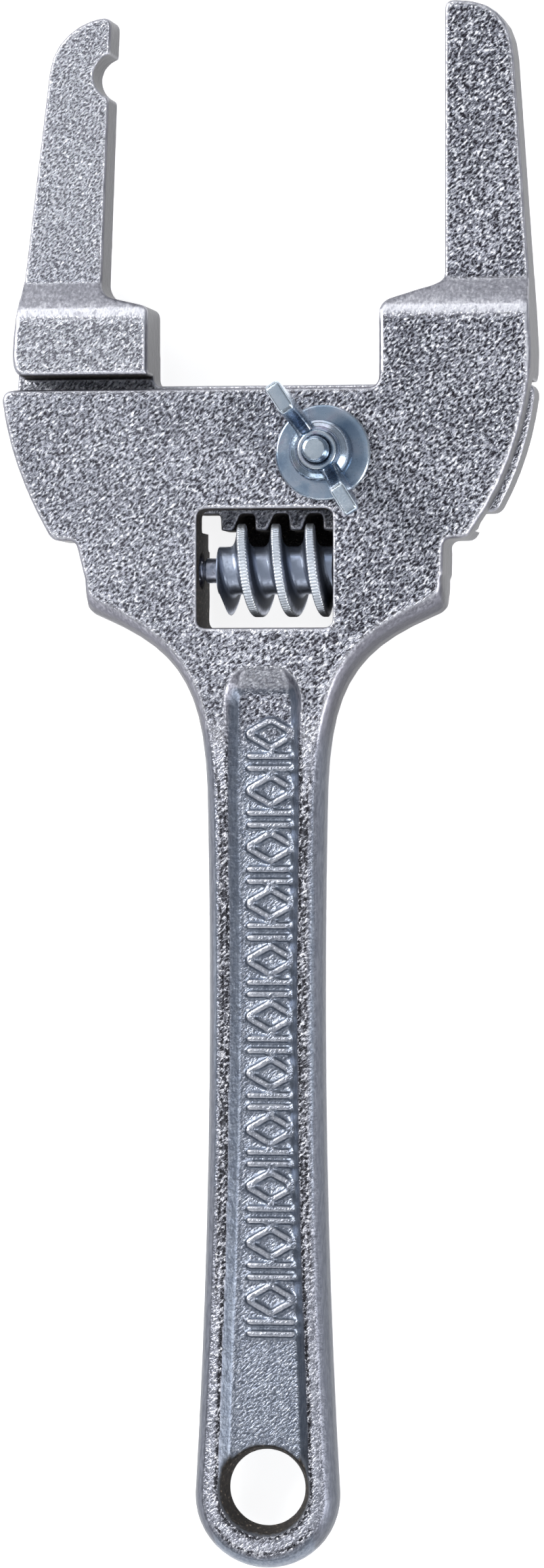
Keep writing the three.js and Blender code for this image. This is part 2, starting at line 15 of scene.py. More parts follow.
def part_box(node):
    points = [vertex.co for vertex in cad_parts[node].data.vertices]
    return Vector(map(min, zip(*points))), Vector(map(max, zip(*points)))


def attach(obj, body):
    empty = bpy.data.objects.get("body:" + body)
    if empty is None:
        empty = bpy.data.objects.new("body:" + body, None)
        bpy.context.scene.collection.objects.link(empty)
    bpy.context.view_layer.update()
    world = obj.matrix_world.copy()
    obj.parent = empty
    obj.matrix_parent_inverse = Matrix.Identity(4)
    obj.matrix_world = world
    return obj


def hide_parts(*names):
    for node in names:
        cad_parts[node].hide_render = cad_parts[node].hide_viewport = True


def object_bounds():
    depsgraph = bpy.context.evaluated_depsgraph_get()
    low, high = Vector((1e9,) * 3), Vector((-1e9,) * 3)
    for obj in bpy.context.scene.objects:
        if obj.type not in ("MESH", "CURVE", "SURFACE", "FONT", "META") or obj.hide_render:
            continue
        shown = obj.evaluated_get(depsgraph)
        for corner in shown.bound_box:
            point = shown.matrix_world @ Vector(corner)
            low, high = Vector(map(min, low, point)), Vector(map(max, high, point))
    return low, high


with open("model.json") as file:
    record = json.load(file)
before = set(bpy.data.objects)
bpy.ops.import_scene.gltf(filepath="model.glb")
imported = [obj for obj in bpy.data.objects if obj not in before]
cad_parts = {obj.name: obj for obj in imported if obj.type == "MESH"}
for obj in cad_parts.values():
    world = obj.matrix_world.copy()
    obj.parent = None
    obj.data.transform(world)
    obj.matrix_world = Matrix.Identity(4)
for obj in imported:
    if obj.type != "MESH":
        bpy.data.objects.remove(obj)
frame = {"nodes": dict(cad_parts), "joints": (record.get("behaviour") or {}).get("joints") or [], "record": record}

MM = 0.001
cad_low, cad_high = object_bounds()

# ---- places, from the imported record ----

RECORD = frame["record"]
JOINTS = {joint["name"]: joint for joint in frame["joints"]}
OPENINGS = {gap["name"]: gap["box_m"] for gap in RECORD["physics"]["openings"]}
COUPLINGS = {c["joint"]: c["ratio"] for c in RECORD["behaviour"]["couplings"]}

WORM_AXIS = Vector(JOINTS["worm_turn"]["pos_m"])
WORM_PITCH = 2 * math.pi / COUPLINGS["worm_turn"]
NUT_AXIS = Vector(JOINTS["wing_nut_turn"]["pos_m"])
BOLT_PITCH = 2 * math.pi * COUPLINGS["washer_lift"]
HOLE_BOX = OPENINGS["hanging_hole"]
HOLE_X = (HOLE_BOX[0][0] + HOLE_BOX[1][0]) / 2
HOLE_Y = (HOLE_BOX[0][1] + HOLE_BOX[1][1]) / 2
FRONT_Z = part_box("body")[1].z
MID_Z = FRONT_Z / 2

# ---- places and sizes that the record doesn't hold ----

WINDOW_HALF_WIDTH = 12.6 * MM
WINDOW_BOTTOM = 29.1 * MM
WINDOW_TOP = 50.8 * MM
WEB_FRONT_Z = 2.0 * MM
BLOCK_BOTTOM = 75.5 * MM
JAW_BOTTOM = 93 * MM
BLOCK_SIDE_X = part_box("movable_jaw")[0].x + 25.5 * MM
HANDLE_FRONT_Z = MID_Z + 5.5 * MM
RECESS_FLOOR_Z = HANDLE_FRONT_Z - 2.2 * MM
HOLE_RIM_RADIUS = 8.6 * MM
RECESS_HALF_WIDTH = 9.2 * MM
HANDLE_TOP_Y = 18 * MM
RIDGE_TOP_Y = 10 * MM
# Coarseness of the cast skin, at the tool's left and right; 0 is the finest.
BODY_COARSENESS = (0.8, 1.05)
JAW_COARSENESS = (0.0, 0.25)
RIDGE_COARSENESS = 1.15
HANDLE_GRAIN = 0.35

VOXEL = 0.36 * MM
JAW_VOXEL = 0.34 * MM
NUT_VOXEL = 0.16 * MM
MAX_TRIANGLES = 196_000


# ---- mesh helpers ----


def new_object(name, mesh):
    obj = bpy.data.objects.new(name, mesh)
    bpy.context.scene.collection.objects.link(obj)
    return obj


def smoothstep(low, high, value):
    t = np.clip((value - low) / (high - low), 0, 1)
    return t * t * (3 - 2 * t)


def grid_mesh(name, points, ring=False, sharp_degrees=38):
    """A closed skin through points[row, column], where the columns run round the axis.

    In a ring the last row meets the first one again; otherwise each end gets a cap.
    """
    rows, columns, _ = points.shape
    index = np.arange(rows * columns).reshape(rows, columns)
    beside = np.roll(index, -1, axis=1)
    vertices = points.reshape(-1, 3)
    if ring:
        quads = [index, beside, np.roll(beside, -1, axis=0), np.roll(index, -1, axis=0)]
        faces = np.stack(quads, -1).reshape(-1, 4).tolist()
    else:
        quads = [index[:-1], beside[:-1], beside[1:], index[1:]]
        faces = np.stack(quads, -1).reshape(-1, 4).tolist()
        poles = [points[0].mean(0), points[-1].mean(0)]
        vertices = np.vstack([vertices, poles])
        count = rows * columns
        for pole, row in ((count, 0), (count + 1, rows - 1)):
            faces += [[pole, int(a), int(b)] for a, b in zip(index[row], beside[row])]
    mesh = bpy.data.meshes.new(name)
    mesh.from_pydata(vertices.tolist(), [], faces)
    with_faces_out(mesh)
    mesh.shade_smooth()
    mesh.set_sharp_from_angle(angle=math.radians(sharp_degrees))
    return mesh


def with_faces_out(mesh):
    work = bmesh.new()
    work.from_mesh(mesh)
    bmesh.ops.recalc_face_normals(work, faces=work.faces)
    work.to_mesh(mesh)
    work.free()


def around(count):
    return np.linspace(0, 2 * math.pi, count, endpoint=False)[None, :]


def about_x(x, radius, angle):
    """Points at that radius and angle round the worm's axis; angle 0 faces +Y."""
    x, radius, angle = np.broadcast_arrays(x, radius, angle)
    y = WORM_AXIS.y + radius * np.cos(angle)
    return np.stack([x, y, WORM_AXIS.z + radius * np.sin(angle)], -1)


def about_z(z, radius, angle, centre=NUT_AXIS):
    z, radius, angle = np.broadcast_arrays(z, radius, angle)
    return np.stack([centre.x + radius * np.cos(angle), centre.y + radius * np.sin(angle), z], -1)


def from_thread_crest(along, angle, pitch, phase):
    """Signed distance, along the axis, to the nearest crest of a right-hand thread."""
    return (along - phase - pitch * angle / (2 * math.pi) + pitch / 2) % pitch - pitch / 2


def evaluated(obj):
    """The object's mesh with its modifiers applied."""
    graph = bpy.context.evaluated_depsgraph_get()
    mesh = bpy.data.meshes.new_from_object(obj.evaluated_get(graph))
    obj.modifiers.clear()
    obj.data = mesh
    return mesh


def vertex_array(mesh, what):
    values = np.zeros(len(mesh.vertices) * 3, np.float32)
    mesh.vertices.foreach_get(what, values)
    return values.reshape(-1, 3).astype(float)


def store(mesh, name, values):
    attribute = mesh.attributes.new(name, "FLOAT", "POINT")
    attribute.data.foreach_set("value", np.asarray(values, np.float32))


class Neighbours:
    """Averages over the vertices next to each vertex of a mesh."""

    def __init__(self, mesh):
        edges = np.zeros(len(mesh.edges) * 2, np.int32)
        mesh.edges.foreach_get("vertices", edges)
        self.a, self.b = edges.reshape(-1, 2).T
        self.size = len(mesh.vertices)
        self.count = np.bincount(self.a, minlength=self.size) + np.bincount(self.b, minlength=self.size)

    def mean(self, values):
        from_b = np.bincount(self.a, values[self.b], self.size)
        from_a = np.bincount(self.b, values[self.a], self.size)
        return (from_b + from_a) / np.maximum(self.count, 1)

    def blurred(self, values, times):
        for _ in range(times):
            values = 0.5 * values + 0.5 * self.mean(values)
        return values


# ---- material helpers ----


class Graph:
    """A node material, built one node at a time. An input is a value, or the socket that feeds it."""

    def __init__(self, name):
        self.material = bpy.data.materials.new(name)
        self.material.use_nodes = True
        self.tree = self.material.node_tree
        self.tree.nodes.clear()

    def add(self, kind, inputs=None, **settings):
        node = self.tree.nodes.new(kind)
        for key, value in settings.items():
            setattr(node, key, value)
        for key, value in (inputs or {}).items():
            if isinstance(value, bpy.types.NodeSocket):
                self.tree.links.new(value, node.inputs[key])
            else:
                node.inputs[key].default_value = value
        return node

    def value(self, operation, a, b=0.0):
        return self.add("ShaderNodeMath", {0: a, 1: b}, operation=operation).outputs[0]

    def mix(self, factor, a, b):
        inputs = {0: factor, 6: a, 7: b}
        return self.add("ShaderNodeMix", inputs, data_type="RGBA").outputs[2]

    def mix_value(self, factor, a, b):
        return self.add("ShaderNodeMix", {0: factor, 2: a, 3: b}, data_type="FLOAT").outputs[0]

    def noise(self, vector, scale, detail=3.0, roughness=0.55, distortion=0.0):
        inputs = {"Vector": vector, "Scale": scale, "Detail": detail, "Roughness": roughness}
        inputs["Distortion"] = distortion
        return self.add("ShaderNodeTexNoise", inputs).outputs[0]

    def remap(self, value, low, high, to_low=0.0, to_high=1.0):
        inputs = {0: value, 1: low, 2: high, 3: to_low, 4: to_high}
        return self.add("ShaderNodeMapRange", inputs, interpolation_type="SMOOTHSTEP").outputs[0]

    def ramp(self, factor, stops):
        node = self.add("ShaderNodeValToRGB", {0: factor})
        elements = node.color_ramp.elements
        while len(elements) < len(stops):
            elements.new(0.5)
        for element, (place, colour) in zip(elements, stops):
            element.position = place
            element.color = (*colour, 1)
        return node.outputs[0]

    def attribute(self, name):
        return self.add("ShaderNodeAttribute", attribute_name=name).outputs["Fac"]

    def bump(self, height, strength, distance, under=None):
        inputs = {"Height": height, "Strength": strength, "Distance": distance}
        if under is not None:
            inputs["Normal"] = under
        return self.add("ShaderNodeBump", inputs).outputs[0]

    def finish(self, **inputs):
        named = {key.replace("_", " "): value for key, value in inputs.items()}
        shader = self.add("ShaderNodeBsdfPrincipled", named)
        out = self.add("ShaderNodeOutputMaterial", {"Surface": shader.outputs[0]})
        out.is_active_output = True
        return self.material


def object_place(graph, turn=0.0, stretch=(1, 1, 1)):
    """A place on the piece, for a pattern turned about Z and then stretched along its own axes."""
    place = graph.add("ShaderNodeTexCoord").outputs["Object"]
    inputs = {"Vector": place, "Rotation": (0, 0, turn), "Scale": stretch}
    return graph.add("ShaderNodeMapping", inputs, vector_type="TEXTURE").outputs[0]


# ---- materials ----

# Colour of the satin edges, from upright faces to level ones: painted shade on upright faces, and a painted sheen
# that is brightest on nearly level ones.
SATIN_SHEEN_BY_LEVEL = [
    (0.10, (0.05, 0.05, 0.06)),
    (0.40, (0.10, 0.10, 0.12)),
    (0.64, (0.20, 0.20, 0.235)),
    (0.80, (0.50, 0.50, 0.56)),
    (0.92, (0.90, 0.90, 0.95)),
    (1.00, (0.46, 0.46, 0.52)),
]

# Colours of the painted shade on the castings: near black, with brownish blotches.
DARK_SHADE_COLOURS = [
    (0.35, (0.006, 0.005, 0.005)),
    (0.60, (0.03, 0.024, 0.02)),
    (0.72, (0.30, 0.24, 0.19)),
]
STEEL_COLOURS = [
    (0.32, (0.15, 0.18, 0.24)),
    (0.48, (0.46, 0.50, 0.62)),
    (0.70, (0.80, 0.82, 0.95)),
]
ZINC_COLOURS = [
    (0.30, (0.24, 0.33, 0.46)),
    (0.48, (0.40, 0.50, 0.62)),
    (0.62, (0.54, 0.60, 0.70)),
    (0.75, (0.44, 0.40, 0.54)),
]
# The pebbles of the cast skin are longer along a slanting direction.
GRAIN_TURN = math.radians(42)
GRAIN_STRETCH = (1.7, 0.9, 1)
FINE_GRAIN = 1 / (0.37 * MM)
COARSE_GRAIN = 1 / (0.47 * MM)


def pebbled_colour(g, pebble, skin, rough_side):
    """Painted shade in the pits and painted highlights on the peaks, over a grey that is darker on the rough side;
    the skin's borders get more of the shaded pits.
    """
    # Painted shade in the pits.
    pit_shade = g.remap(pebble, 0.37, 0.565, 1, 0)
    border = g.value("MULTIPLY", g.value("MULTIPLY", skin, g.value("SUBTRACT", 1.0, skin)), 3.0)
    pit_shade = g.value("MAXIMUM", pit_shade, g.value("MULTIPLY", border, g.remap(pebble, 0.45, 0.68, 1, 0)))
    # Painted highlight on the peaks of the pebbles.
    peak_highlight = g.remap(pebble, 0.52, 0.64, 0, 0.95)
    pit_shade_colour = g.mix(rough_side, (0.18, 0.18, 0.21, 1), (0.024, 0.022, 0.029, 1))
    broad = g.remap(g.noise(object_place(g), 1 / (16 * MM), 2.0), 0.3, 0.7)
    pale = g.mix(broad, (0.74, 0.76, 0.85, 1), (0.85, 0.87, 0.96, 1))
    grey = g.mix(broad, (0.34, 0.355, 0.42, 1), (0.49, 0.505, 0.585, 1))
    colour = g.mix(pit_shade, g.mix(rough_side, pale, grey), pit_shade_colour)
    return g.mix(peak_highlight, colour, (0.88, 0.88, 0.93, 1))


def satin_colour(g):
    """The smooth stretches, with painted sheen and shade set by how level the face is, and bluish in the recess.
    """
    satin_grain = g.noise(object_place(g, 0, (1, 4, 1)), 1 / (0.5 * MM), 4.0, 0.6)
    streak = g.value("MULTIPLY", g.value("SUBTRACT", satin_grain, 0.5), 0.45)
    level = g.value("ADD", g.attribute("level"), streak)
    bluish = g.mix(g.remap(satin_grain, 0.35, 0.7), (0.16, 0.185, 0.235, 1), (0.26, 0.29, 0.345, 1))
    return g.mix(g.attribute("recess"), g.ramp(level, SATIN_SHEEN_BY_LEVEL), bluish)


def cast_material():
    """Bright zinc over a pebbled as-cast skin; rolled edges are satin, and hollows get painted shade in dull dark
    blotches.

    The casting's attributes say where it is pebbled (grain), how coarsely (coarse), how level the face is
    (level), and where the recess, the rims with their painted highlight, the handle's dark ridge lines and the
    painted shade are.
    """
    g = Graph("plated casting")
    place = object_place(g, GRAIN_TURN, GRAIN_STRETCH)
    rough_side = g.attribute("coarse")
    skin = g.attribute("grain")
    rim_highlight = g.attribute("rim_highlight")
    shade_dark = g.attribute("painted_shade")

    fine = g.noise(place, FINE_GRAIN, 2.0, 0.5, 0.3)
    coarse = g.noise(place, COARSE_GRAIN, 2.5, 0.55, 0.4)
    pebble = g.mix_value(rough_side, fine, coarse)
    height = g.remap(pebble, 0.25, 0.75)

    colour = g.mix(skin, satin_colour(g), pebbled_colour(g, pebble, skin, rough_side))
    # Painted highlight along the rims.
    colour = g.mix(rim_highlight, colour, (0.80, 0.80, 0.85, 1))
    speckle = g.value("MULTIPLY", g.attribute("ridge_line"), g.remap(pebble, 0.42, 0.6, 1, 0.2))
    colour = g.mix(speckle, colour, (0.025, 0.025, 0.03, 1))
    blotch = g.noise(object_place(g), 1 / (0.7 * MM), 4.0, 0.65)
    # Painted shade, drawn as dull dark blotches.
    colour = g.mix(shade_dark, colour, g.ramp(blotch, DARK_SHADE_COLOURS))

    dull = g.mix_value(skin, 0.36, 0.34)
    roughness = g.mix_value(shade_dark, dull, 0.8)
    metallic = g.mix_value(shade_dark, 0.9, 0.2)
    wave = g.noise(object_place(g), 1 / (1.6 * MM), 2.0)
    under = g.bump(wave, 0.35, 0.25 * MM)
    strength = g.mix_value(skin, 0.06, 1.0)
    normal = g.bump(height, strength, 0.48 * MM, under)
    return g.finish(Base_Color=colour, Roughness=roughness, Metallic=metallic, Normal=normal)


def worm_material():
    """Blue-grey plated steel, with flanks painted dark as shade, a satin hub (root) and bright knurled crests."""
    g = Graph("worm steel")
    place = object_place(g)
    crest = g.attribute("crest")
    root = g.attribute("root")
    blotch = g.noise(place, 1 / (2.2 * MM), 4.0, 0.6, 0.4)
    speck = g.noise(place, 1 / (0.45 * MM), 3.0, 0.6)
    steel = g.ramp(blotch, STEEL_COLOURS)
    steel = g.mix(g.remap(speck, 0.55, 0.75, 0, 0.5), steel, (0.06, 0.065, 0.085, 1))
    # Painted shade on the thread's flanks; the hub keeps its own colour.
    colour = g.mix(root, (0.05, 0.06, 0.085, 1), (0.42, 0.47, 0.58, 1))
    colour = g.mix(g.attribute("land"), colour, steel)
    colour = g.mix(crest, colour, (0.72, 0.76, 0.82, 1))
    plain = g.value("MAXIMUM", root, g.attribute("land"))
    roughness = g.mix_value(plain, 0.6, g.remap(speck, 0.3, 0.7, 0.32, 0.52))
    metallic = g.mix_value(plain, 0.85, 0.95)
    normal = g.bump(speck, 0.25, 0.05 * MM)
    return g.finish(Base_Color=colour, Roughness=roughness, Metallic=metallic, Normal=normal)


def zinc_material():
    """Bluish bright zinc with faint rainbow clouds, dark blue painted shade and reflection, and pale painted
    highlights on rims.
    """
    g = Graph("bright zinc")
    place = object_place(g)
    cloud = g.noise(place, 1 / (5 * MM), 3.0, 0.55, 0.6)
    speck = g.noise(place, 1 / (0.4 * MM), 4.0, 0.6)
    colour = g.ramp(cloud, ZINC_COLOURS)
    colour = g.mix(g.remap(speck, 0.58, 0.72, 0, 0.35), colour, (0.15, 0.16, 0.2, 1))
    # Dark blue painted shade and reflection.
    colour = g.mix(g.attribute("painted_shade"), colour, (0.055, 0.10, 0.17, 1))
    # Pale painted highlight.
    colour = g.mix(g.attribute("rim_highlight"), colour, (0.86, 0.92, 0.95, 1))
    roughness = g.remap(speck, 0.3, 0.7, 0.16, 0.3)
    normal = g.bump(speck, 0.15, 0.04 * MM)
    return g.finish(Base_Color=colour, Roughness=roughness, Metallic=0.95, Normal=normal)


def floor_material():
    """A pale floor, lit from within like a light table, so that it stays pale under the wrench."""
    g = Graph("pale floor")
    shade = g.noise(object_place(g), 8.0, 2.0)
    colour = g.mix(shade, (0.50, 0.50, 0.51, 1), (0.53, 0.53, 0.53, 1))
    return g.finish(Base_Color=colour, Roughness=0.9, Emission_Color=(1, 1, 1, 1), Emission_Strength=0.85)


# ---- castings ----


def bar(x, y, length, width, low, high, turn=0.0):
    """A raised bar with round ends, as a list of vertices and a list of faces."""
    arc = np.linspace(-math.pi / 2, math.pi / 2, 9)
    end_x = length / 2 - width / 2 + width / 2 * np.cos(arc)
    end_y = width / 2 * np.sin(arc)
    outline_x = np.concatenate([end_x, -end_x])
    outline_y = np.concatenate([end_y, -end_y])
    c, s = math.cos(turn), math.sin(turn)
    px = x + c * outline_x - s * outline_y
    py = y + s * outline_x + c * outline_y
    count = len(px)
    vertices = [(a, b, z) for z in (low, high) for a, b in zip(px, py)]
    faces = [list(range(count))[::-1], list(range(count, 2 * count))]
    faces += [[i, (i + 1) % count, count + (i + 1) % count, count + i] for i in range(count)]
    return vertices, faces


RELIEF_X = HOLE_X + 1.1 * MM
RELIEF_TOP_Y = 9.6 * MM
RELIEF_STEP = 10.4 * MM
RELIEF_COUNT = 11
RELIEF_HEIGHT = 0.8 * MM
LOZENGE_SIDE = 5.4 * MM
LOZENGE_LEAN = math.radians(30)
LOZENGE_LINE = 1.2 * MM
LOZENGE_OVERLAP = 0.94
BAR_LENGTH = 9.2 * MM
BAR_LINE = 1.1 * MM


def recess_relief():
    """Plain raised ornament on the handle's recess floors, front and back: lozenges between pairs of bars."""
    shapes = []
    front = (RECESS_FLOOR_Z - MM, RECESS_FLOOR_Z + RELIEF_HEIGHT)
    back = (2 * MID_Z - front[1], 2 * MID_Z - front[0])
    reach_x = LOZENGE_SIDE / 2 * math.cos(LOZENGE_LEAN)
    reach_y = LOZENGE_SIDE / 2 * math.sin(LOZENGE_LEAN)
    for low, high in (front, back):
        for i in range(RELIEF_COUNT):
            y = RELIEF_TOP_Y - i * RELIEF_STEP
            for across in (-1, 1):
                for along in (-1, 1):
                    x = RELIEF_X + across * reach_x * LOZENGE_OVERLAP
                    turn = -across * along * LOZENGE_LEAN
                    shapes.append(bar(x, y + along * reach_y, LOZENGE_SIDE, LOZENGE_LINE, low, high, turn))
            for offset in (-1, 1):
                bar_y = y - RELIEF_STEP / 2 + offset * BAR_LINE
                shapes.append(bar(RELIEF_X, bar_y, BAR_LENGTH, BAR_LINE, low, high))
    return shapes


def casting_source(node, extra):
    """A copy of a CAD node's mesh, with its vertices merged, and extra solids added to it."""
    work = bmesh.new()
    work.from_mesh(frame["nodes"][node].data)
    bmesh.ops.remove_doubles(work, verts=work.verts, dist=0.002 * MM)
    for vertices, faces in extra:
        made = [work.verts.new(v) for v in vertices]
        for face in faces:
            work.faces.new([made[i] for i in face])
    mesh = bpy.data.meshes.new(node + "_cast")
    work.to_mesh(mesh)
    work.free()
    return mesh


def in_window(co):
    inside_x = np.abs(co[:, 0]) < WINDOW_HALF_WIDTH + 0.6 * MM
    inside_y = (co[:, 1] > WINDOW_BOTTOM - 0.6 * MM) & (co[:, 1] < WINDOW_TOP + 0.6 * MM)
    return inside_x & inside_y


def folded_height(co):
    """Height with the back half folded up about the handle's middle plane, so that both faces are alike."""
    return np.abs(co[:, 2] - MID_Z) + MID_Z


def painted_shade_places(co, normal):
    """Where shade is painted dark: in the window, on the web, in the hanging hole and in the seam under the moving
    block.
    """
    upright = 1 - smoothstep(0.35, 0.7, np.abs(normal[:, 2]))
    window = upright * in_window(co)
    web = in_window(co) & (co[:, 2] < WEB_FRONT_Z) & (co[:, 1] > WORM_AXIS.y)
    from_hole = np.hypot(co[:, 0] - HOLE_X, co[:, 1] - HOLE_Y)
    hole_wall = 1 - smoothstep(HOLE_RIM_RADIUS + 0.1 * MM, HOLE_RIM_RADIUS + 0.5 * MM, from_hole)
    below_face = 1 - smoothstep(HANDLE_FRONT_Z - 0.9 * MM, HANDLE_FRONT_Z - 0.2 * MM, folded_height(co))
    flat = smoothstep(0.93, 0.99, np.abs(normal[:, 2]))
    hole = hole_wall * below_face * (1 - flat)
    seam = (co[:, 1] > BLOCK_BOTTOM - 2.2 * MM) & (co[:, 1] < BLOCK_BOTTOM + 0.25 * MM)
    seam = seam & (co[:, 0] < BLOCK_SIDE_X) & (co[:, 2] > MID_Z + 0.7 * MM)
    return np.clip(window + web + hole + seam, 0, 1)


# Sizes of the cast skin's lumps, along the grain, across it and in height.
LUMP_LENGTH = 1.7 * MM
LUMP_WIDTH = 1.1 * MM
LUMP_HEIGHT = 1.3 * MM
# How far they stand out in mm, what full coarseness adds to that, and how far the whole skin is set in.
FINE_RELIEF = 0.045
COARSE_RELIEF = 0.035
SKIN_INSET = 0.03 * MM


def cast_texture(co, weight):
    """Signed depth of the cast skin's larger pits and lumps at each vertex, about -1 to 1."""
    cos, sin = math.cos(GRAIN_TURN), math.sin(GRAIN_TURN)
    along = cos * co[:, 0] + sin * co[:, 1]
    across = cos * co[:, 1] - sin * co[:, 0]
    places = np.stack([along / LUMP_LENGTH, across / LUMP_WIDTH, co[:, 2] / LUMP_HEIGHT], -1)
    depth = np.zeros(len(co))
    for i in np.flatnonzero(weight > 0.02):
        depth[i] = noise.noise(places[i])
    return depth


def remeshed(obj, voxel, smoothing):
    """The object's mesh, rebuilt on a grid of that voxel size, so that all its solids are one skin."""
    voxels = obj.modifiers.new("voxels", "REMESH")
    voxels.mode = "VOXEL"
    voxels.voxel_size = voxel
    soften = obj.modifiers.new("soften", "SMOOTH")
    soften.iterations = smoothing
    soften.factor = 0.5
    mesh = evaluated(obj)
    mesh.shade_smooth()
    return mesh


def convexity(mesh, near, size, times):
    """How far each vertex stands out from those round it, as a part of that size; hollows are negative."""
    co = vertex_array(mesh, "co")
    normal = vertex_array(mesh, "normal")
    lift = sum((co[:, k] - near.mean(co[:, k])) * normal[:, k] for k in range(3)) / size
    return near.blurred(lift, times)


def pebbled(level, y):
    """Where the skin is pebbled: on level faces. The rolled tops of the blocks stay smooth further in."""
    on_block = (y > BLOCK_BOTTOM) & (y <= JAW_BOTTOM)
    return np.where(on_block, smoothstep(0.93, 0.995, level), smoothstep(0.78, 0.95, level))


def recess_and_ridge(co):
    """Where the handle's recess is, and where the level ridges beside it are."""
    on_handle = co[:, 1] < HANDLE_TOP_Y
    height = folded_height(co)
    recess = on_handle * (1 - smoothstep(HANDLE_FRONT_Z - 0.5 * MM, HANDLE_FRONT_Z, height))
    recess = recess * (np.abs(co[:, 0] - HOLE_X) < RECESS_HALF_WIDTH)
    ridge = on_handle * smoothstep(HANDLE_FRONT_Z - 0.3 * MM, HANDLE_FRONT_Z - 0.1 * MM, height)
    return recess, ridge


def dark_ridge_line(co, near, recess, ridge, handle):
    """The narrow speckled line on each ridge, next to the recess."""
    beside_recess = np.abs(co[:, 0] - HOLE_X) < RECESS_HALF_WIDTH
    close = smoothstep(0.01, 0.1, near.blurred(recess, 14))
    return ridge * beside_recess * handle * close * (recess < 0.2)


def mark_casting(mesh, near, voxel, coarseness):
    """Stores what the cast material asks for at each vertex. Gives back the grain and its coarseness."""
    co = vertex_array(mesh, "co")
    normal = vertex_array(mesh, "normal")
    # Convex rims: they get a painted highlight, and keep less of the pebbled grain.
    rim_highlight = smoothstep(0.03, 0.11, convexity(mesh, near, voxel, 3))
    level = near.blurred(np.abs(normal[:, 2]), 4)
    # Painted shade in the window, on the web, in the hanging hole and in the seam under the moving block.
    painted_shade = near.blurred(painted_shade_places(co, normal), 1)
    recess, ridge = recess_and_ridge(co)
    handle = smoothstep(14 * MM, 4 * MM, co[:, 1])
    ridge_line = dark_ridge_line(co, near, recess, ridge, handle)

    across = smoothstep(-35 * MM, 42 * MM, co[:, 0])
    coarse = coarseness[0] + (coarseness[1] - coarseness[0]) * across
    coarse = np.maximum(coarse, RIDGE_COARSENESS * ridge * (co[:, 1] < RIDGE_TOP_Y))
    grain = pebbled(level, co[:, 1]) * (1 - 0.75 * rim_highlight * (1 - ridge))
    on_handle = np.maximum(HANDLE_GRAIN * grain, ridge_line)
    grain = grain * (1 - handle) + on_handle * handle
    # The painted highlight is stronger on the edges in the handle's recess.
    rim_highlight = rim_highlight * (1 + 1.2 * near.blurred(recess, 2) * handle)

    store(mesh, "ridge_line", near.blurred(ridge_line, 1))
    store(mesh, "recess", near.blurred(np.maximum(recess, 0.35 * handle), 2))
    # The handle's level is set lower, so its painted sheen is darker.
    store(mesh, "level", level - 0.2 * handle)
    store(mesh, "rim_highlight", 0.35 * rim_highlight * (1 - painted_shade))
    store(mesh, "grain", grain)
    store(mesh, "painted_shade", painted_shade)
    store(mesh, "coarse", coarse)
    return grain, coarse


def roughen(mesh, grain, coarse):
    """Moves the vertices by the cast texture, and a little inwards to keep the skin inside the solid."""
    co = vertex_array(mesh, "co")
    normal = vertex_array(mesh, "normal")
    weight = 0.25 + 0.75 * grain
    relief = (FINE_RELIEF + COARSE_RELIEF * coarse) * MM
    depth = cast_texture(co, weight) * weight * relief - SKIN_INSET
    moved = co + normal * depth[:, None]
    mesh.vertices.foreach_set("co", moved.astype(np.float32).ravel())


def casting(node, name, voxel, coarseness, extra=()):
    """A CAD casting with soft edges and a rough skin, whose coarseness differs between left and right."""
    obj = new_object(name, casting_source(node, extra))
    mesh = remeshed(obj, voxel, 4)
    near = Neighbours(mesh)
    grain, coarse = mark_casting(mesh, near, voxel, coarseness)
    roughen(mesh, grain, coarse)
    triangles = 2 * len(mesh.polygons)
    if triangles > MAX_TRIANGLES:
        thin = obj.modifiers.new("thin", "DECIMATE")
        thin.ratio = MAX_TRIANGLES / triangles
        mesh = evaluated(obj)
    mesh.shade_smooth()
    return obj


# ---- worm and pin ----

WORM_LEFT = -9.4 * MM
WORM_RIGHT = 12.3 * MM
WORM_CREST_X = 1.2 * MM
WORM_CREST_RADIUS = 8.6 * MM
WORM_CORE_RADIUS = 4.4 * MM
WORM_BORE_RADIUS = 2.55 * MM
KNURL_TICKS = 84
KNURL_DEPTH = 0.2 * MM
# Half of the thread's section, in mm: distance from the crest's middle, radius.
THREAD_PROFILE = [
    (0, 8.6),
    (0.62, 8.6),
    (0.8, 8.4),
    (0.95, 7.8),
    (1.2, 6.0),
    (1.4, 5.2),
    (1.75, 4.65),
    (2.2, 4.42),
    (3.2, 4.4),
]


